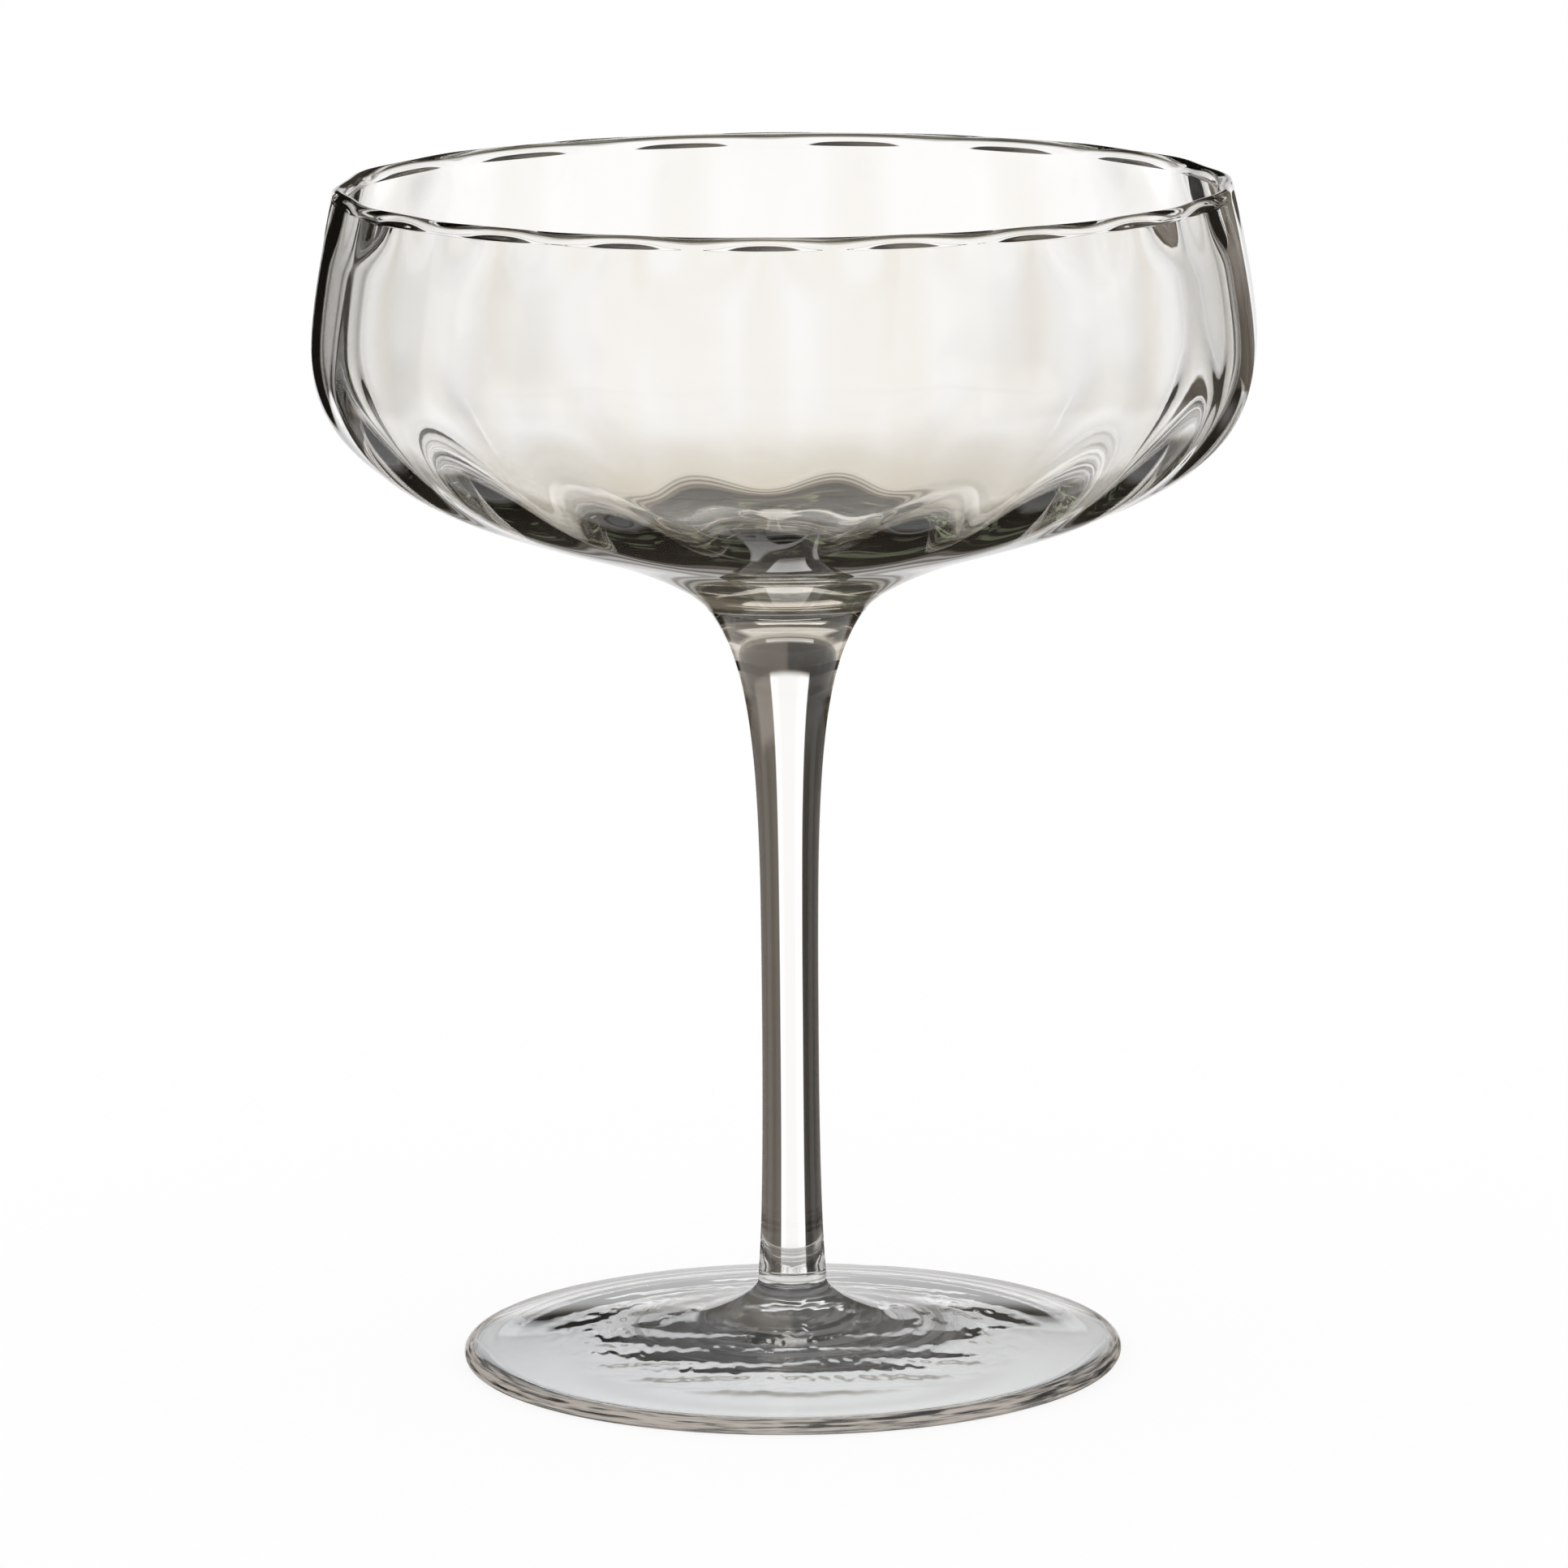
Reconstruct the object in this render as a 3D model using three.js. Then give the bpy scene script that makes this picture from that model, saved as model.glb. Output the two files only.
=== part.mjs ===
// Champagne coupe of hand-blown glass: a fluted bowl, a drawn stem and a foot, joined while hot.
// Millimetres, +Z up. The origin is on the table, under the middle of the foot.
import * as THREE from "three";

const glassHeight = 140; // table to rim; the stem takes up what the foot and the bowl leave

// Foot: a shallow disc that sweeps up to a narrow ankle under the stem
const footRadius = 39;
const footEdge = 1.9; // thickness of the rounded edge
const discRise = 3; // edge to the start of the sweep
const ankleRise = 4.4; // start of the sweep to the joint with the stem
const ankleRadius = 4.06;
const ankleSpread = 7.9; // how far the sweep reaches beyond the ankle
const discSlope = THREE.MathUtils.degToRad(8);
const discReach = 9; // handles of the disc's curve
const sweepReach = 2.2; // handle of the sweep on the disc
const ankleReach = 1.6; // handle of the sweep at the ankle
const restRing = 2.5; // width of the flat ring that the foot stands on
const footHollow = 2; // rise of the underside at its middle
const hollowRadius = 19; // the middle of the underside is flat to here
const hollowReach = 4.5; // handle of the underside's curve at the flat middle
const ringSlope = THREE.MathUtils.degToRad(8.5); // how the underside leaves the ring
const ringReach = 7; // handle of the underside's curve at the ring

// Stem: drawn out thin, with its waist below the middle
const stemLower = 30.2; // foot joint to waist
const waistRadius = 3.37;
const lowerReach = 2; // handle of the lower curve at the foot
const waistReach = 26.8; // handle of the lower curve at the waist
const upperReach = 29.5; // handle of the upper curve at the waist
const collarReach = 9.5; // handle of the upper curve at the bowl
const collarRadius = 9.35; // where the stem meets the bowl
const collarSlope = THREE.MathUtils.degToRad(53); // slope of the glass across that joint

// Bowl: flare, cone, shoulder, belly and a wall that leans in to the rim
const coneRise = 7.4; // bowl joint to the start of the cone
const coneRadius = 24.8;
const coneSlope = THREE.MathUtils.degToRad(16);
const flareReach = 3; // handle of the flare at the stem
const coneReach = 7.1; // handle of the flare at the cone
const shoulderRise = 23.8; // start of the cone to the belly
const bellyRadius = 55;
const shoulderReach = 16.4; // handle of the shoulder on the cone
const bellyReach = 13.6; // handle of the shoulder at the belly
const wallRise = 17.1; // belly to the base of the lip
const rimInset = 2.7; // how far the rim leans in from the belly
const rimSlope = THREE.MathUtils.degToRad(104);
const wallReach = 4.15; // handle of the upper wall at the belly
const rimReach = 5.6; // handle of the upper wall at the rim
const wall = 1.35; // glass above the belly
const coneWall = 2.1; // glass at the start of the cone
const lipNeck = 1; // the wall's top edge to the middle of the lip
const lipRadius = 0.9; // the fire-polished lip is a bead, a little thicker than the wall
const floorRise = 5.9; // bowl joint to the lowest point inside
const floorReach = 8.2; // handles of the inside floor's curve

// Flutes: soft upright waves left by a ribbed mould, uneven because the bowl is blown by hand
const fluteCount = 18;
const fluteStart = 28; // radius where the waves begin
const fluteFull = 52; // radius where they reach their full depth
const outerShoulder = 0.6; // half depth of the outer wave on the shoulder
const innerShoulder = 0.2; // half depth of the inner wave on the shoulder
const outerRim = 0.45; // half depth of the outer wave below the lip
const innerRim = 0.05; // half depth of the inner wave below the lip
const lipDepth = 0.3; // half depth of the lip's own wave
const fluteDrift = 2.87; // how far the waves crowd together on one side, in radians of a wave
const driftAngle = THREE.MathUtils.degToRad(17);
const fluteTurn = THREE.MathUtils.degToRad(280); // turns the whole set of waves, in degrees of a wave

// How finely the turned shapes and their curves are cut up
const bowlSegments = 108;
const footSegments = 48;
const stemSegments = 24;
const shoulderSteps = 8;
const curveSteps = 5;
const neckSteps = 3;

const footTop = footEdge + discRise + ankleRise;
const lipLean = rimSlope - Math.PI / 2;
const lipRise = lipNeck * Math.cos(lipLean) - (wall / 2) * Math.sin(lipLean) + lipRadius;
const stemTop = glassHeight - lipRise - wallRise - shoulderRise - coneRise;
const bellyHeight = stemTop + coneRise + shoulderRise;
const lipHeight = bellyHeight + wallRise;

const point = (radius, height) => new THREE.Vector2(radius, height);

// A point that lies a handle's length from another, in the direction of an angle.
function handle(from, angle, length) {
  return point(from.x + length * Math.cos(angle), from.y + length * Math.sin(angle));
}

// A smooth curve between two points, leaving and arriving along the given angles.
function sweep(from, fromAngle, fromReach, to, toAngle, toReach) {
  return new THREE.CubicBezierCurve(
    from,
    handle(from, fromAngle, fromReach),
    handle(to, toAngle + Math.PI, toReach),
    to,
  );
}

// The point at t on a curve, moved square to it, to its left.
function offset(curve, t, distance) {
  const along = curve.getTangent(t);
  return curve.getPoint(t).add(point(-along.y, along.x).multiplyScalar(distance));
}

// Even steps along a curve from its end back to its start.
function downwards(steps) {
  return Array.from({ length: steps + 1 }, (_, i) => 1 - i / steps);
}

// One profile from several runs of points, without the points that two runs share.
function profile(...runs) {
  const joined = runs.flat();
  return joined.filter((p, i) => i === 0 || p.distanceTo(joined[i - 1]) > 1e-6);
}

// A profile of radius and height, turned about the +Z axis, starting at -Y.
function turned(points, segments) {
  return new THREE.LatheGeometry(points, segments).rotateX(Math.PI / 2);
}

function footGeometry() {
  const edge = footEdge / 2;
  const underside = sweep(
    point(hollowRadius, footHollow),
    0,
    hollowReach,
    point(footRadius - edge - restRing, 0),
    -ringSlope,
    ringReach,
  );
  const roundEdge = new THREE.EllipseCurve(
    footRadius - edge,
    edge,
    edge,
    edge,
    -Math.PI / 2,
    Math.PI / 2,
  );
  const sweepFoot = point(ankleRadius + ankleSpread, footEdge + discRise);
  const disc = sweep(
    point(footRadius - edge, footEdge),
    Math.PI - discSlope,
    discReach,
    sweepFoot,
    Math.PI - discSlope,
    discReach,
  );
  const ankle = sweep(
    sweepFoot,
    Math.PI - discSlope,
    sweepReach,
    point(ankleRadius, footTop),
    Math.PI / 2,
    ankleReach,
  );
  const outline = profile(
    [point(0, footHollow)],
    underside.getPoints(curveSteps),
    roundEdge.getPoints(curveSteps),
    disc.getPoints(curveSteps),
    ankle.getPoints(curveSteps),
    [point(0, footTop)],
  );
  return turned(outline, footSegments);
}

function stemGeometry() {
  const waist = point(waistRadius, footTop + stemLower);
  const lower = sweep(
    point(ankleRadius, footTop),
    Math.PI / 2,
    lowerReach,
    waist,
    Math.PI / 2,
    waistReach,
  );
  const upper = sweep(
    waist,
    Math.PI / 2,
    upperReach,
    point(collarRadius, stemTop),
    collarSlope,
    collarReach,
  );
  const outline = profile(
    [point(0, footTop)],
    lower.getPoints(curveSteps),
    upper.getPoints(2 * curveSteps),
    [point(0, stemTop)],
  );
  return turned(outline, stemSegments);
}

function bowlGeometry() {
  const coneStart = point(coneRadius, stemTop + coneRise);
  const belly = point(bellyRadius, bellyHeight);
  const flare = sweep(
    point(collarRadius, stemTop),
    collarSlope,
    flareReach,
    coneStart,
    coneSlope,
    coneReach,
  );
  const shoulder = sweep(coneStart, coneSlope, shoulderReach, belly, Math.PI / 2, bellyReach);
  const upperWall = sweep(
    belly,
    Math.PI / 2,
    wallReach,
    point(bellyRadius - rimInset, lipHeight),
    rimSlope,
    rimReach,
  );

  // The inside follows the outside at the glass's own thickness, down to the floor
  const innerWall = downwards(curveSteps).map((t) => offset(upperWall, t, wall));
  const innerShell = downwards(shoulderSteps).map((t) =>
    offset(shoulder, t, THREE.MathUtils.lerp(coneWall, wall, THREE.MathUtils.smoothstep(t, 0, 1))),
  );
  const floor = sweep(
    innerShell.at(-1),
    coneSlope + Math.PI,
    floorReach,
    point(0, stemTop + floorRise),
    Math.PI,
    floorReach,
  );

  // The lip is a bead over the middle of the wall's top edge, with a neck on either side
  const lipCentre = handle(offset(upperWall, 1, wall / 2), rimSlope, lipNeck);
  const outerNeck = sweep(
    point(bellyRadius - rimInset, lipHeight),
    rimSlope,
    lipNeck / 2,
    handle(lipCentre, lipLean, lipRadius),
    rimSlope,
    lipNeck / 2,
  );
  const innerNeck = sweep(
    handle(lipCentre, lipLean + Math.PI, lipRadius),
    rimSlope + Math.PI,
    lipNeck / 2,
    innerWall[0],
    rimSlope + Math.PI,
    lipNeck / 2,
  );
  const bead = new THREE.EllipseCurve(
    lipCentre.x,
    lipCentre.y,
    lipRadius,
    lipRadius,
    lipLean,
    lipLean + Math.PI,
  );
  const outline = profile(
    [point(0, stemTop)],
    flare.getPoints(curveSteps),
    shoulder.getPoints(shoulderSteps),
    upperWall.getPoints(curveSteps),
    outerNeck.getPoints(neckSteps),
    bead.getPoints(curveSteps),
    innerNeck.getPoints(neckSteps),
    innerWall,
    innerShell,
    floor.getPoints(curveSteps),
  );
  const geometry = turned(outline, bowlSegments);
  raiseFlutes(geometry);
  return geometry;
}

// The wave at an angle about the axis: 1 on a crest, -1 in a trough.
function wave(angle) {
  return Math.cos(fluteCount * angle + fluteDrift * Math.sin(angle - driftAngle) + fluteTurn);
}

// Moves the bowl's surface out on the crests and in at the troughs. The outer wave is the deeper one,
// so the wall is thick on the crests and thin in the troughs, while the lip keeps its thickness.
function raiseFlutes(geometry) {
  const places = geometry.getAttribute("position");
  const normals = geometry.getAttribute("normal");
  const place = new THREE.Vector3();
  const normal = new THREE.Vector3();
  for (let i = 0; i < places.count; i++) {
    place.fromBufferAttribute(places, i);
    normal.fromBufferAttribute(normals, i);
    const radius = Math.hypot(place.x, place.y);
    const facesOut = normal.x * place.x + normal.y * place.y > 0;
    const height = THREE.MathUtils.smoothstep(place.z, bellyHeight, lipHeight);
    const outer = THREE.MathUtils.lerp(outerShoulder, outerRim, height);
    const inner = THREE.MathUtils.lerp(innerShoulder, innerRim, height);
    const lip = THREE.MathUtils.smoothstep(place.z, lipHeight, lipHeight + lipNeck);
    const depth = THREE.MathUtils.lerp(facesOut ? outer : inner, lipDepth, lip);
    const share = THREE.MathUtils.smoothstep(radius, fluteStart, fluteFull);
    const push = depth * share * wave(Math.atan2(place.x, -place.y));
    const out = radius > 0 ? push / radius : 0;
    places.setXYZ(i, place.x * (1 + out), place.y * (1 + out), place.z);
  }
}

function piece(name, geometry, color, roughness) {
  const material = new THREE.MeshStandardMaterial({ color, roughness, metalness: 0 });
  material.transparent = true;
  material.opacity = 0.35;
  const mesh = new THREE.Mesh(geometry, material);
  mesh.name = name;
  return mesh;
}

const glass = new THREE.Group();
glass.add(piece("foot", footGeometry(), 0xeef0f0, 0.03));
glass.add(piece("stem", stemGeometry(), 0x8c8478, 0.02));
glass.add(piece("bowl", bowlGeometry(), 0xd8d2c8, 0.02));

export default glass;
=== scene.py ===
import math

import bmesh
import bpy
from mathutils import Matrix, Vector, noise
from mathutils.geometry import interpolate_bezier


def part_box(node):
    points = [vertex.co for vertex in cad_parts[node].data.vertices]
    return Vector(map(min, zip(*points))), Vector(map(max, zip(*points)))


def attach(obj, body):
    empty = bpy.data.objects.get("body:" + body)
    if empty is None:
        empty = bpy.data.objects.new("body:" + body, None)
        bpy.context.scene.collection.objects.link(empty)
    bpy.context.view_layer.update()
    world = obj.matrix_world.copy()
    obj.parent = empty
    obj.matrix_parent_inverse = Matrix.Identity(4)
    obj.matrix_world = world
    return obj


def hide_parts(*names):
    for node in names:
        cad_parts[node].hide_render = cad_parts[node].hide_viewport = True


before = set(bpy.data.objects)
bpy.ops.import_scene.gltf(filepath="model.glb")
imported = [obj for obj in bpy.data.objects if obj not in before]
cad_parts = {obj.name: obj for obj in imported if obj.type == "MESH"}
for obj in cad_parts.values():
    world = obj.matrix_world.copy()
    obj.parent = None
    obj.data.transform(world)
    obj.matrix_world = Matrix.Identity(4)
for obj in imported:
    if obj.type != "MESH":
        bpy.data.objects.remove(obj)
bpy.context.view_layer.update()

mm = 0.001
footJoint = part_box("stem")[0][2] / mm  # heights of the two fused joints, from the frame
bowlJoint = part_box("stem")[1][2] / mm
jointGap = 0.02  # left between two closed pieces so that their faces never fight
jointReach = jointGap * 0.75  # how far from a joint's height a face still counts as part of it
samePoint = 1e-4  # points of a profile closer than this are one
weldGap = 1e-7  # metres; closes the seam and the poles of a turned piece
sharpEdge = math.radians(50)  # only the rims of the joint faces are sharper


# Profiles are drawn in millimetres, x = radius and y = height

def reach(start, angle, length):
    return Vector((start[0] + length * math.cos(angle), start[1] + length * math.sin(angle)))


def sweep(start, startAngle, startReach, end, endAngle, endReach, steps):
    leave = reach(start, math.radians(startAngle), startReach)
    arrive = reach(end, math.radians(endAngle + 180), endReach)
    return [Vector(p) for p in interpolate_bezier(Vector(start), leave, arrive, Vector(end), steps)]


def arc(centre, radius, startAngle, endAngle, steps):
    turns = [startAngle + (endAngle - startAngle) * i / steps for i in range(steps + 1)]
    return [reach(centre, math.radians(a), radius) for a in turns]


def joinRuns(*runs):
    points = []
    for p in [p for run in runs for p in run]:
        if not points or (p - points[-1]).length > samePoint:
            points.append(p)
    return points


def smoothStep(low, high, x):
    t = min(max((x - low) / (high - low), 0), 1)
    return t * t * (3 - 2 * t)


def mix(a, b, t):
    return a + (b - a) * t


# Turning, finishing and hanging a piece on the frame

def turnProfile(points, steps):
    bm = bmesh.new()
    verts = [bm.verts.new((0, -p.x * mm, p.y * mm)) for p in points]
    edges = [bm.edges.new(pair) for pair in zip(verts, verts[1:])]
    bmesh.ops.spin(
        bm, geom=verts + edges, cent=(0, 0, 0), axis=(0, 0, 1), angle=math.tau, steps=steps, use_merge=True,
    )
    bmesh.ops.remove_doubles(bm, verts=bm.verts, dist=weldGap)
    bmesh.ops.recalc_face_normals(bm, faces=bm.faces)
    bm.normal_update()
    return bm


def addPiece(name, bm, material):
    for face in bm.faces:
        face.smooth = True
    for edge in bm.edges:
        edge.smooth = edge.calc_face_angle(0) < sharpEdge
    mesh = bpy.data.meshes.new(name)
    bm.to_mesh(mesh)
    bm.free()
    mesh.materials.append(material)
    piece = bpy.data.objects.new(name, mesh)
    bpy.context.scene.collection.objects.link(piece)
    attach(piece, "root")
    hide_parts(name.split("_")[0])
    print("piece", name, len(mesh.polygons), "faces")


# Shader expressions

class Shade:
    def __init__(self, tree, socket=None):
        self.tree = tree
        self.socket = socket

    def node(self, kind, settings, inputs):  # settings first, then the values or links of the sockets
        made = self.tree.nodes.new(kind)
        for key, value in settings.items():
            setattr(made, key, value)
        for key, value in inputs.items():
            if isinstance(value, Shade):
                self.tree.links.new(value.socket, made.inputs[key])
            else:
                made.inputs[key].default_value = value
        return made

    def out(self, kind, settings, inputs, output=0):
        return Shade(self.tree, self.node(kind, settings, inputs).outputs[output])

    def math(self, operation, a, b):
        return self.out("ShaderNodeMath", {"operation": operation}, {0: a, 1: b})

    def __add__(self, other):
        return self.math("ADD", self, other)

    def __sub__(self, other):
        return self.math("SUBTRACT", self, other)

    def __rsub__(self, other):
        return self.math("SUBTRACT", other, self)

    def __mul__(self, other):
        return self.math("MULTIPLY", self, other)

    __radd__ = __add__
    __rmul__ = __mul__

    def rise(self, low, high):  # 0 below low, 1 above high, smooth between
        return self.out("ShaderNodeMapRange", {"interpolation_type": "SMOOTHSTEP"}, {0: self, 1: low, 2: high})

    def tint(self, low, high):  # a colour between two, by this value
        return self.out("ShaderNodeMix", {"data_type": "RGBA"}, {0: self, 6: (*low, 1), 7: (*high, 1)}, 2)


def newMaterial(name):
    material = bpy.data.materials.new(name)
    material.use_nodes = True
    material.node_tree.nodes.clear()
    return material, Shade(material.node_tree)


# Blown glass: clear all through, with faint cords of denser glass, a skin of fire-polish ripples,
# the fused joints left open to light, painted shade in the flute troughs, and a thin layer of painted light
# for the light that stays caught inside

smokeGlass = {
    "name": "smoke_glass",
    "light": (1.0, 0.997, 0.992), "deep": (0.86, 0.805, 0.70),  # clear glass, and the deep colour of the cords, of the darker lower bowl and of the painted shade in the flute troughs
    "smoke": (0.62, 0.52, 0.36), "density": 9,  # what the thickness of the glass takes out
    "cordScale": (90, 90, 30), "cordShare": 0.12, "rippleScale": 120, "rippleDepth": 0.000003,
}
clearGlass = {
    "name": "clear_glass",
    "light": (0.975, 0.99, 1.0), "deep": (0.92, 0.945, 0.965),
    "smoke": (0.8, 0.86, 0.9), "density": 2,
    "cordScale": (60, 60, 60), "cordShare": 0.2, "rippleScale": 150, "rippleDepth": 0.000003,
}

glassBend = 1.5  # index of refraction
cordNoise = {"Scale": 1, "Detail": 3, "Roughness": 0.55}
cordFrom, cordTo = 0.45, 0.75  # how much of that noise is cord
paintedLightRough = 0.4


def aroundAxis(shade, place):  # radius, heading and height of a place about the glass's axis
    parts = shade.node("ShaderNodeSeparateXYZ", {}, {0: place})
    across, along, height = (Shade(shade.tree, parts.outputs[i]) for i in range(3))
    radius = shade.math("SQRT", across * across + along * along, 0)
    heading = [shade.math("DIVIDE", side, radius) for side in (across, along)]
    return radius, heading, height


def drawnNoise(shade, radius, heading, height, fine, long):  # streaks drawn out along the round, no seam
    drawn = shade.out("ShaderNodeCombineXYZ", {}, {
        0: heading[0] * long, 1: heading[1] * long, 2: radius * fine,
    })
    return shade.out("ShaderNodeTexNoise", {"noise_dimensions": "4D"}, {
        "Vector": drawn, "W": height * fine, "Scale": 1, "Detail": 2, "Distortion": 0.4,
    })


def glassMaterial(piece, look, joints, paintedLightOf, darkerFrom=0, darkerTo=-1, troughShade=0):
    material, shade = newMaterial(f"{look['name']}_{piece}")
    place = shade.out("ShaderNodeTexCoord", {}, {}, "Object")
    drawn = shade.out("ShaderNodeMapping", {}, {"Vector": place, "Scale": look["cordScale"]})
    cords = shade.out("ShaderNodeTexNoise", {}, {"Vector": drawn, **cordNoise})
    ripple = shade.out("ShaderNodeTexNoise", {}, {"Vector": place, "Scale": look["rippleScale"], "Detail": 1})
    radius, heading, height = aroundAxis(shade, place)
    trough = shade.out("ShaderNodeAttribute", {"attribute_name": "trough"}, {}, "Fac")
    darkerLow = 1 - height.rise(darkerTo * mm, darkerFrom * mm)  # darker towards the bottom of the bowl
    # how much of the deep colour: cords, painted shade in the flute troughs, and darker towards the bottom
    deepShare = cords.rise(cordFrom, cordTo) * look["cordShare"] + trough * troughShade + darkerLow
    skin = shade.out("ShaderNodeBump", {}, {"Strength": 1, "Distance": look["rippleDepth"], "Height": ripple})
    glass = shade.node("ShaderNodeBsdfPrincipled", {}, {
        "Transmission Weight": 1, "IOR": glassBend, "Roughness": 0,
        "Base Color": deepShare.tint(look["light"], look["deep"]), "Normal": skin,
    })
    fused = sum(
        shade.out("ShaderNodeMath", {"operation": "COMPARE"}, {0: height, 1: z * mm, 2: jointReach * mm})
        for z in joints
    )
    # painted light: a lit, rough layer mixed into the glass where light would stay caught inside
    share, colour = paintedLightOf(shade, radius, heading, height)
    paintedLight = shade.node("ShaderNodeBsdfPrincipled", {}, {"Base Color": colour, "Roughness": paintedLightRough})
    glassAndPaintedLight = shade.node("ShaderNodeMixShader", {}, {0: share})
    passThrough = shade.node("ShaderNodeBsdfTransparent", {}, {})
    surface = shade.node("ShaderNodeMixShader", {}, {0: fused})
    smoke = shade.node("ShaderNodeVolumeAbsorption", {}, {
        "Color": (*look["smoke"], 1), "Density": look["density"],
    })
    end = shade.node("ShaderNodeOutputMaterial", {}, {})
    links = material.node_tree.links
    links.new(glass.outputs[0], glassAndPaintedLight.inputs[1])
    links.new(paintedLight.outputs[0], glassAndPaintedLight.inputs[2])
    links.new(glassAndPaintedLight.outputs[0], surface.inputs[1])
    links.new(passThrough.outputs[0], surface.inputs[2])
    links.new(surface.outputs[0], end.inputs["Surface"])
    links.new(smoke.outputs[0], end.inputs["Volume"])
    return material


# Foot: a spun disc, hollow below, that sweeps up to the ankle

foot = {
    "radius": 39, "edge": 1.9, "discRise": 3, "discSlope": 8, "discReach": 9,
    "ankleRadius": 4.06, "ankleSpread": 7.9, "sweepReach": 2.2, "ankleReach": 1.6,
    "restRing": 2.5, "hollow": 2, "flat": 19, "hollowReach": 4.5, "ringSlope": 8.5, "ringReach": 7,
    "steps": 320, "curveSteps": 40, "rimSteps": 18, "ankleSteps": 30,
}
footRipple = {  # shallow ovals on the underside
    "facing": -0.5,  # faces that look down more than this are underside
    "depth": 0.062, "length": 5.2, "oval": 0.45,  # half depth, spacing, and how far drawn out to the sides
    "start": 5, "fadeFrom": 22, "fadeTo": 31,
    "tear": 1.6, "tearAcross": 1.1, "tearAlong": 0.3,  # fine tearing of the ovals
    "wander": 2, "wanderAcross": 0.06, "wanderAlong": 0.12, "wanderLayer": 7,
}
# painted light on the foot: brownish in drawn lines along the outer edge, pale in rings in the hollow
# underside, faint elsewhere below
footPaintedLight = {
    "edgeFrom": 36.6, "edgeTo": 38, "edgeTop": 2.4, "edgeSoft": 0.6, "edgeColour": (0.58, 0.525, 0.47),
    "edgeFine": 2600, "edgeLong": 6, "lineFrom": 0.35, "lineTo": 0.6, "edgeShare": 0.85,  # drawn lines
    "underFrom": 17, "underTo": 22, "underTop": 2.5, "underSoft": 0.2, "underColour": (0.92, 0.94, 0.96),
    "underFine": 650, "underLong": 0.8, "ringFrom": 0.5, "ringTo": 0.62, "underShare": 0.5,  # rings
    "underPaintedLight": 0.2, "outerPaintedLight": 0.05,
}


# painted light on the foot's edge and in its hollow underside
def paintedLightOfFoot(shade, radius, heading, height):
    size = footPaintedLight
    onEdge = radius.rise(size["edgeFrom"] * mm, size["edgeTo"] * mm)
    onEdge = onEdge * (1 - height.rise((size["edgeTop"] - size["edgeSoft"]) * mm, size["edgeTop"] * mm))
    lines = drawnNoise(shade, radius, heading, height, size["edgeFine"], size["edgeLong"])
    lines = lines.rise(size["lineFrom"], size["lineTo"])
    below = 1 - height.rise((size["underTop"] - size["underSoft"]) * mm, size["underTop"] * mm)
    under = below * (1 - radius.rise(size["underFrom"] * mm, size["underTo"] * mm))
    rings = drawnNoise(shade, radius, heading, height, size["underFine"], size["underLong"])
    rings = rings.rise(size["ringFrom"], size["ringTo"])
    share = onEdge * lines * size["edgeShare"] + under * (rings * size["underShare"] + size["underPaintedLight"])
    share = share + below * (1 - onEdge) * size["outerPaintedLight"]
    return share, onEdge.tint(size["underColour"], size["edgeColour"])


def footProfile(size):
    edge = size["edge"] / 2
    ring = (size["radius"] - edge - size["restRing"], 0)
    flat = (size["flat"], size["hollow"])
    steps = size["curveSteps"]
    hollow = sweep(flat, 0, size["hollowReach"], ring, -size["ringSlope"], size["ringReach"], steps)
    under = [Vector((size["flat"] * i / steps, size["hollow"])) for i in range(steps)] + hollow
    rim = arc((size["radius"] - edge, edge), edge, -90, 90, size["rimSteps"])
    start = (size["ankleRadius"] + size["ankleSpread"], size["edge"] + size["discRise"])
    away = 180 - size["discSlope"]
    outer = (size["radius"] - edge, size["edge"])
    disc = sweep(outer, away, size["discReach"], start, away, size["discReach"], steps)
    top = footJoint - jointGap / 2
    neck = (size["ankleRadius"], top)
    ankle = sweep(start, away, size["sweepReach"], neck, 90, size["ankleReach"], size["ankleSteps"])
    return joinRuns(under, rim, disc, ankle, [Vector((0, top))])


def rippleFoot(bm, size):
    for v in bm.verts:
        if v.normal.z > size["facing"]:
            continue
        radius = math.hypot(v.co.x, v.co.y) / mm
        across, along = v.co.x / mm, v.co.y / mm
        share = smoothStep(0, size["start"], radius)
        share *= 1 - smoothStep(size["fadeFrom"], size["fadeTo"], radius)
        oval = math.hypot(across * size["oval"], along)
        tear = noise.noise((across * size["tearAcross"], along * size["tearAlong"], 0))
        wander = noise.noise((across * size["wanderAcross"], along * size["wanderAlong"], size["wanderLayer"]))
        phase = math.tau * oval / size["length"] + size["tear"] * tear + size["wander"] * wander
        v.co.z += size["depth"] * share * math.sin(phase) * mm


def makeFoot():
    bm = turnProfile(footProfile(foot), foot["steps"])
    rippleFoot(bm, footRipple)
    glass = glassMaterial("foot", clearGlass, [footJoint - jointGap / 2], paintedLightOfFoot)
    addPiece("foot_disc", bm, glass)


# Stem: drawn out thin, with its waist below the middle

stem = {
    "waistHeight": 30.2, "waistRadius": 3.37, "lowerReach": 2, "waistReach": 26.8, "upperReach": 29.5,
    "collarReach": 9.5, "collarRadius": 9.35, "collarSlope": 53,
    "steps": 128, "lowerSteps": 40, "upperSteps": 80,
    "drawDepth": 0.012, "drawLength": 9, "drawRound": 0.8,  # slow unevenness along the draw
    "drawIn": 4, "drawOut": 6,  # where it begins above the foot and ends below the bowl
}
# painted light on the stem
stemPaintedLight = {
    "fine": 60, "long": 2, "from": 0.4, "to": 0.7, "share": 0.006,
    "deep": (0.6, 0.5, 0.4), "light": (0.7, 0.62, 0.53),
}


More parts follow.
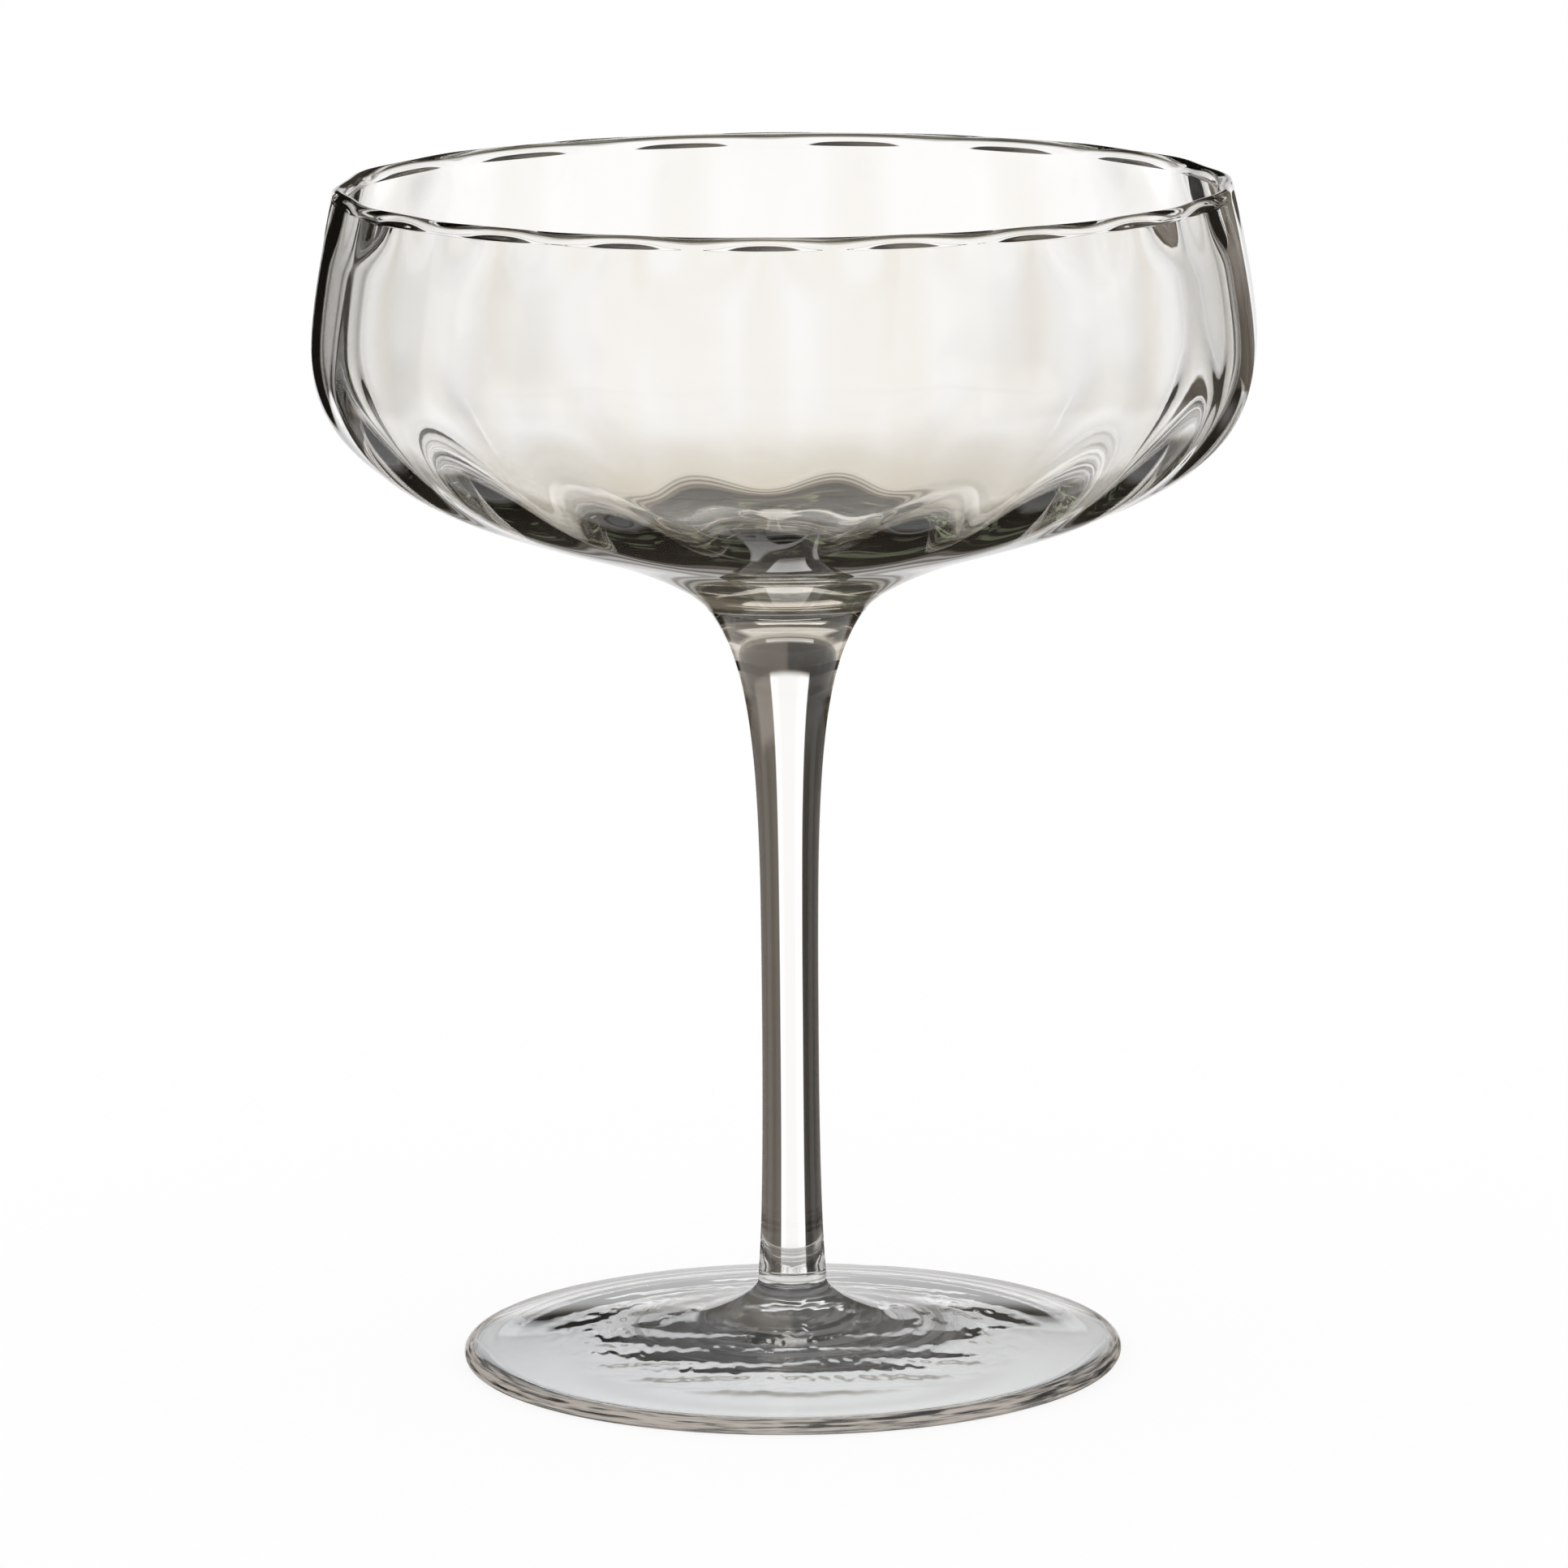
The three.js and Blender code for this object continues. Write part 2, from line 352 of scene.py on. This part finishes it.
def stemProfile(size):
    bottom = footJoint + jointGap / 2
    top = bowlJoint - jointGap / 2
    waist = (size["waistRadius"], footJoint + size["waistHeight"])
    ankle = (foot["ankleRadius"], bottom)
    collar = (size["collarRadius"], top)
    lower = sweep(ankle, 90, size["lowerReach"], waist, 90, size["waistReach"], size["lowerSteps"])
    upper = sweep(
        waist, 90, size["upperReach"], collar, size["collarSlope"], size["collarReach"], size["upperSteps"],
    )
    return joinRuns([Vector((0, bottom))], lower, upper, [Vector((0, top))])


def wanderStem(bm, size):
    for v in bm.verts:
        height = v.co.z / mm
        share = smoothStep(footJoint, footJoint + size["drawIn"], height)
        share *= 1 - smoothStep(bowlJoint - size["drawOut"], bowlJoint, height)
        side = Vector((v.co.x, v.co.y, 0)).normalized()
        spot = (side.x * size["drawRound"], side.y * size["drawRound"], height / size["drawLength"])
        swell = noise.noise(spot)
        v.co += side * swell * share * size["drawDepth"] * mm


def paintedLightOfStem(shade, radius, heading, height):  # painted light, in soft patches
    size = stemPaintedLight
    patches = drawnNoise(shade, radius, heading, height, size["fine"], size["long"])
    patches = patches.rise(size["from"], size["to"])
    return patches * size["share"] + size["share"], patches.tint(size["deep"], size["light"])


def makeStem():
    bm = turnProfile(stemProfile(stem), stem["steps"])
    wanderStem(bm, stem)
    joints = [footJoint + jointGap / 2, bowlJoint - jointGap / 2]
    glass = glassMaterial("stem", smokeGlass, joints, paintedLightOfStem)
    addPiece("stem_drawn", bm, glass)


# Bowl: flare, cone, shoulder, belly and a wall that leans in to a beaded lip, with optic flutes

bowl = {
    "coneRise": 7.4, "coneRadius": 24.8, "coneSlope": 16, "flareReach": 3, "coneReach": 7.1,
    "shoulderRise": 23.8, "bellyRadius": 55, "shoulderReach": 16.4, "bellyReach": 13.6,
    "wallRise": 17.1, "rimInset": 2.7, "rimSlope": 104, "wallReach": 4.15, "rimReach": 5.6,
    "wall": 1.35, "coneWall": 2.1, "lipNeck": 1, "lipRadius": 0.82, "floorRise": 5.9, "floorReach": 8.2,
    "steps": 312, "flareSteps": 30, "shoulderSteps": 44, "wallSteps": 22,
    "floorSteps": 36, "neckSteps": 12, "beadSteps": 20,
    "darkerFrom": 106, "darkerTo": 97, "troughShade": 0.24,  # heights between which the colour darkens downwards, and how much painted shade lies in the flute troughs
}
flutes = {
    "count": 18, "drift": 2.87, "driftAngle": 17, "turn": 280,  # uneven spacing, blown by hand
    "start": 28, "full": 52,  # radius where the waves begin and where they are whole
    "outerShoulder": 0.6, "outerWall": 0.3, "outerRim": 0.45,  # half depths of the outer and the inner wave
    "innerShoulder": 0.2, "innerWall": 0.22, "innerRim": 0.05, "lip": 0.3,
    "wallStart": 108, "wallFull": 119, "neckStart": 132,
    "troughFrom": 0.1,  # share of a trough's depth where the painted shade begins
}
# painted light in the bowl: in spots low down, strongest at its base, thin all over
bowlPaintedLight = {
    "from": 112, "to": 100, "share": 0.012, "thin": 0.004,
    "deep": (0.5, 0.42, 0.33), "light": (0.75, 0.72, 0.6),
    "fine": 260, "long": 6, "spotFrom": 0.5, "spotTo": 0.7, "spotShare": 0.012,
    "baseFrom": 99, "baseTo": 95, "baseShare": 0.05,  # stronger painted light at the base of the bowl, by the stem
}
belly = bowlJoint + bowl["coneRise"] + bowl["shoulderRise"]
lipBase = belly + bowl["wallRise"]


def bowlProfile(size):
    bottom = bowlJoint + jointGap / 2
    cone = (size["coneRadius"], bowlJoint + size["coneRise"])
    widest = (size["bellyRadius"], belly)
    rim = (size["bellyRadius"] - size["rimInset"], lipBase)
    slope = size["rimSlope"]
    collar = (stem["collarRadius"], bottom)
    flare = sweep(
        collar, stem["collarSlope"], size["flareReach"],
        cone, size["coneSlope"], size["coneReach"], size["flareSteps"],
    )
    shoulder = sweep(
        cone, size["coneSlope"], size["shoulderReach"], widest, 90, size["bellyReach"], size["shoulderSteps"],
    )
    wall = sweep(widest, 90, size["wallReach"], rim, slope, size["rimReach"], size["wallSteps"])
    outside = joinRuns(flare, shoulder, wall)

    # the inside follows the outside at the glass's own thickness
    first, last = len(flare) - 1, len(flare) + len(shoulder) - 2
    inside = []
    for i in range(first, len(outside)):
        ahead = outside[min(i + 1, len(outside) - 1)] - outside[i - 1]
        left = Vector((-ahead.y, ahead.x)).normalized()
        inside.append(outside[i] + left * mix(size["coneWall"], size["wall"], smoothStep(first, last, i)))
    lowest = (0, bowlJoint + size["floorRise"])
    floor = sweep(
        inside[0], size["coneSlope"] + 180, size["floorReach"],
        lowest, 180, size["floorReach"], size["floorSteps"],
    )

    # the lip is a bead on a neck
    lean = slope - 90
    half = size["lipNeck"] / 2
    centre = reach((outside[-1] + inside[-1]) / 2, math.radians(slope), size["lipNeck"])
    outerBead = reach(centre, math.radians(lean), size["lipRadius"])
    innerBead = reach(centre, math.radians(lean + 180), size["lipRadius"])
    outerNeck = sweep(outside[-1], slope, half, outerBead, slope, half, size["neckSteps"])
    bead = arc(centre, size["lipRadius"], lean, lean + 180, size["beadSteps"])
    innerNeck = sweep(innerBead, slope + 180, half, inside[-1], slope + 180, half, size["neckSteps"])
    return joinRuns([Vector((0, bottom))], outside, outerNeck, bead, innerNeck, inside[::-1], floor)


def fluteWave(turn, size):  # 1 on a crest, -1 in a trough
    drift = size["drift"] * math.sin(turn - math.radians(size["driftAngle"]))
    return math.cos(size["count"] * turn + drift + math.radians(size["turn"]))


def raiseFlutes(bm, size):
    trough = bm.verts.layers.float.new("trough")
    for v in bm.verts:
        radius = math.hypot(v.co.x, v.co.y) / mm
        share = smoothStep(size["start"], size["full"], radius)
        if share == 0:
            continue
        side = Vector((v.co.x, v.co.y, 0)).normalized()
        height = v.co.z / mm
        wall = smoothStep(size["wallStart"], size["wallFull"], height)
        neck = smoothStep(size["neckStart"], lipBase, height)
        outer = mix(mix(size["outerShoulder"], size["outerWall"], wall), size["outerRim"], neck)
        inner = mix(mix(size["innerShoulder"], size["innerWall"], wall), size["innerRim"], neck)
        depth = outer if v.normal.dot(side) > 0 else inner
        depth = mix(depth, size["lip"], smoothStep(lipBase, lipBase + bowl["lipNeck"], height))
        wave = fluteWave(math.atan2(v.co.x, -v.co.y), size)
        # mask for the painted shade in the flute troughs
        v[trough] = share * smoothStep(size["troughFrom"], 1, -wave)
        v.co += side * depth * share * wave * mm


def paintedLightOfBowl(shade, radius, heading, height):
    size = bowlPaintedLight
    low = 1 - height.rise(size["to"] * mm, size["from"] * mm)
    spots = drawnNoise(shade, radius, heading, height, size["fine"], size["long"])
    spots = spots.rise(size["spotFrom"], size["spotTo"])
    base = 1 - height.rise(size["baseTo"] * mm, size["baseFrom"] * mm)
    share = low * (spots * size["spotShare"] + size["share"]) + base * size["baseShare"] + size["thin"]
    return share, (spots + base).tint(size["deep"], size["light"])


def makeBowl():
    bm = turnProfile(bowlProfile(bowl), bowl["steps"])
    raiseFlutes(bm, flutes)
    glass = glassMaterial(
        "bowl", smokeGlass, [bowlJoint + jointGap / 2], paintedLightOfBowl,
        bowl["darkerFrom"], bowl["darkerTo"], bowl["troughShade"],
    )
    addPiece("bowl_blown", bm, glass)


# Stage: a pale floor, white all round, and a studio for the glass to pick up

def addStage(name, bm, material):
    mesh = bpy.data.meshes.new(name)
    bm.to_mesh(mesh)
    bm.free()
    mesh.materials.append(material)
    thing = bpy.data.objects.new(name, mesh)
    bpy.context.scene.collection.objects.link(thing)
    return thing


floorPaper = {"half": 6, "glow": 0.85}  # half width in metres, and the share the camera sees as plain white


def makeFloor():
    material, shade = newMaterial("floor_paper")
    seen = shade.out("ShaderNodeLightPath", {}, {}, "Is Camera Ray")
    paper = shade.node("ShaderNodeBsdfDiffuse", {}, {"Color": (1, 1, 1, 1)})
    glow = shade.node("ShaderNodeEmission", {}, {"Color": (1, 1, 1, 1)})
    both = shade.node("ShaderNodeMixShader", {}, {0: seen * floorPaper["glow"]})
    end = shade.node("ShaderNodeOutputMaterial", {}, {})
    links = material.node_tree.links
    links.new(paper.outputs[0], both.inputs[1])
    links.new(glow.outputs[0], both.inputs[2])
    links.new(both.outputs[0], end.inputs["Surface"])
    bm = bmesh.new()
    bmesh.ops.create_grid(bm, x_segments=1, y_segments=1, size=floorPaper["half"])
    floor = addStage("floor", bm, material)
    floor.visible_glossy = False  # the studio below stands in for it there
    floor.visible_transmission = False


studio = {  # angles in degrees
    "radius": 6, "middle": 0.08, "rounds": 64, "rings": 32,
    "left": -18, "right": 14, "sideSoft": 1,  # the bright backdrop, from straight behind the glass
    "low": -27, "lowSoft": 1.5, "high": 8, "highSoft": 1.5,  # and above the horizon
    "bright": 1.02, "sideLift": 0.22, "liftFrom": 5, "liftTo": 16,  # a little brighter at its sides
    "dim": 0.5, "dimFrom": -17, "dimTo": -29,  # it falls off towards the table
    "stripes": 2.2, "stripeDepth": 0.65, "stripeFrom": -16.5, "stripeTo": -23,  # soft lines low down
    "stripeWander": 5, "wanderScale": 4,
    "sideTo": 34, "sideLow": -3, "sideLight": 0.12,  # a paler wall to the right, above the table
    "sideLowSoft": 1, "sideToSoft": 3,
    "leftDark": 0.016, "rightDark": 0.105, "turnSoft": 2,  # dark walls at the sides
    "front": 0.7, "frontFrom": 112, "frontTo": 130,  # the lit room in front of the glass
    "aside": 0.65, "asideFrom": 79, "asideTo": 101, "asideSoft": 3,  # a window in either side wall
    "asideHigh": 8, "asideEnd": 12,
    "table": 0.9, "tableFrom": -17, "tableTo": -24,  # a white table at the sides
    "tableSide": 31, "tableFull": 43, "tableNear": -53, "tableBelow": -60,  # and right below the glass
    "below": 0.04, "belowFrom": -18, "belowTo": -28,  # dark straight behind the foot
    "belowSide": 24, "belowEnd": 40,
    "fleckScale": 11, "fleckBend": 1.5, "fleckFrom": 0.55, "fleckTo": 0.64, "fleckHigh": -29, "fleckLow": -36,
    "fleck": 0.28, "fleckHue": (0.86, 1.0, 0.62),  # small flecks of light from the table
    "overhead": 0.75, "overheadFrom": 46, "overheadTo": 58,
    "warm": (1.0, 0.86, 0.69), "cream": (1.0, 0.965, 0.92),
    "warmFrom": 0.05, "creamAt": 0.5, "whiteAt": 1.0,  # light levels of the warm, the cream and the white
}


def makeStudio():
    size = studio
    material, shade = newMaterial("studio_walls")
    place = shade.out("ShaderNodeTexCoord", {}, {}, "Object")
    ray = shade.out("ShaderNodeVectorMath", {"operation": "NORMALIZE"}, {0: place})
    parts = shade.node("ShaderNodeSeparateXYZ", {}, {0: ray})
    across, along, up = (Shade(material.node_tree, parts.outputs[i]) for i in range(3))
    degree = 180 / math.pi
    turn = shade.math("ARCTAN2", across, along) * degree
    climb = shade.math("ARCSINE", up, 0) * degree
    wide = shade.math("ABSOLUTE", turn, 0)

    def band(value, low, high, lowSoft, highSoft):
        return value.rise(low - lowSoft, low + lowSoft) * (1 - value.rise(high - highSoft, high + highSoft))

    window = band(turn, size["left"], size["right"], size["sideSoft"], size["sideSoft"])
    window = window * band(climb, size["low"], size["high"], size["lowSoft"], size["highSoft"])
    rightward = turn.rise(-size["turnSoft"], size["turnSoft"])
    walls = rightward * (size["rightDark"] - size["leftDark"]) + size["leftDark"]
    front = wide.rise(size["frontFrom"], size["frontTo"])
    walls = walls * (1 - front) + front * size["front"]
    aside = band(wide, size["asideFrom"], size["asideTo"], size["asideSoft"], size["asideSoft"])
    aside = aside * (1 - climb.rise(size["asideHigh"], size["asideEnd"]))
    walls = walls * (1 - aside) + aside * size["aside"]
    table = 1 - climb.rise(size["tableTo"], size["tableFrom"])
    table = table * wide.rise(size["tableSide"], size["tableFull"])
    walls = walls * (1 - table) + table * size["table"]
    under = 1 - climb.rise(size["belowTo"], size["belowFrom"])
    under = under * (1 - wide.rise(size["belowSide"], size["belowEnd"]))
    walls = walls * (1 - under) + under * size["below"]
    deep = 1 - climb.rise(size["tableBelow"], size["tableNear"])
    walls = walls * (1 - deep) + deep * size["table"]
    spots = shade.out("ShaderNodeTexNoise", {}, {
        "Vector": ray, "Scale": size["fleckScale"], "Detail": 2, "Distortion": size["fleckBend"],
    })
    flecks = spots.rise(size["fleckFrom"], size["fleckTo"])
    flecks = flecks * (1 - climb.rise(size["fleckLow"], size["fleckHigh"])) * (1 - deep)
    walls = walls + flecks * size["fleck"]
    lit = band(turn, size["right"], size["sideTo"], size["sideSoft"], size["sideToSoft"])
    lit = lit * band(climb, size["sideLow"], size["high"], size["sideLowSoft"], size["highSoft"])
    walls = walls + lit * size["sideLight"]
    lamp = climb.rise(size["overheadFrom"], size["overheadTo"])
    walls = walls * (1 - lamp) + lamp * size["overhead"]
    card = (climb.rise(size["dimTo"], size["dimFrom"]) * (1 - size["dim"]) + size["dim"]) * size["bright"]
    card = card * (wide.rise(size["liftFrom"], size["liftTo"]) * size["sideLift"] + 1)
    drift = shade.out("ShaderNodeTexNoise", {}, {"Vector": ray, "Scale": size["wanderScale"], "Detail": 1})
    drift = drift * size["stripeWander"]
    stripes = shade.math("SINE", climb * size["stripes"] + drift, 0) * 0.5 + 0.5
    card = card * (1 - stripes * size["stripeDepth"] * (1 - climb.rise(size["stripeTo"], size["stripeFrom"])))
    light = walls * (1 - window) + card * window
    tones = light.rise(size["warmFrom"], size["creamAt"]).tint(size["warm"], size["cream"])
    tones = shade.out("ShaderNodeMix", {"data_type": "RGBA"}, {
        0: flecks, 6: tones, 7: (*size["fleckHue"], 1),
    }, 2)
    colour = shade.out("ShaderNodeMix", {"data_type": "RGBA"}, {
        0: light.rise(size["creamAt"], size["whiteAt"]), 6: tones, 7: (1, 1, 1, 1),
    }, 2)
    shone = shade.out("ShaderNodeVectorMath", {"operation": "SCALE"}, {0: colour, "Scale": light})
    glow = shade.node("ShaderNodeEmission", {}, {"Color": shone})
    end = shade.node("ShaderNodeOutputMaterial", {}, {})
    material.node_tree.links.new(glow.outputs[0], end.inputs["Surface"])
    bm = bmesh.new()
    bmesh.ops.create_uvsphere(bm, u_segments=size["rounds"], v_segments=size["rings"], radius=size["radius"])
    room = addStage("studio_room", bm, material)
    room.location = (0, 0, size["middle"])
    room.visible_camera = room.visible_diffuse = room.visible_shadow = False


view = {
    "back": 1061.1, "height": 266.4, "down": 10.543, "roll": -0.45,  # where the photo was taken from
    "focal": 11319, "image": 1932, "shift": 5.5, "sensor": 36,  # focal length, image and shift in pixels
    "near": 0.01, "far": 100,  # metres
}


def makeCamera():
    data = bpy.data.cameras.new("camera")
    data.sensor_width = view["sensor"]
    data.lens = view["sensor"] * view["focal"] / view["image"]
    data.shift_x = -view["shift"] / view["image"]
    data.clip_start = view["near"]
    data.clip_end = view["far"]
    camera = bpy.data.objects.new("camera", data)
    bpy.context.scene.collection.objects.link(camera)
    stand = Matrix.Translation((0, -view["back"] * mm, view["height"] * mm))
    tilt = Matrix.Rotation(math.radians(90 - view["down"]), 4, "X")
    camera.matrix_world = stand @ tilt @ Matrix.Rotation(math.radians(view["roll"]), 4, "Z")
    bpy.context.scene.camera = camera
    bpy.context.view_layer.update()


def makeLight():
    world = bpy.data.worlds.new("white_room")
    world.use_nodes = True
    sky = world.node_tree.nodes["Background"]
    sky.inputs["Color"].default_value = (1, 1, 1, 1)
    sky.inputs["Strength"].default_value = 1
    bpy.context.scene.world = world


makeCamera()
makeLight()
makeFloor()
makeStudio()
print("stage set")
makeFoot()
makeStem()
makeBowl()
bpy.context.scene.view_settings.view_transform = "Standard"
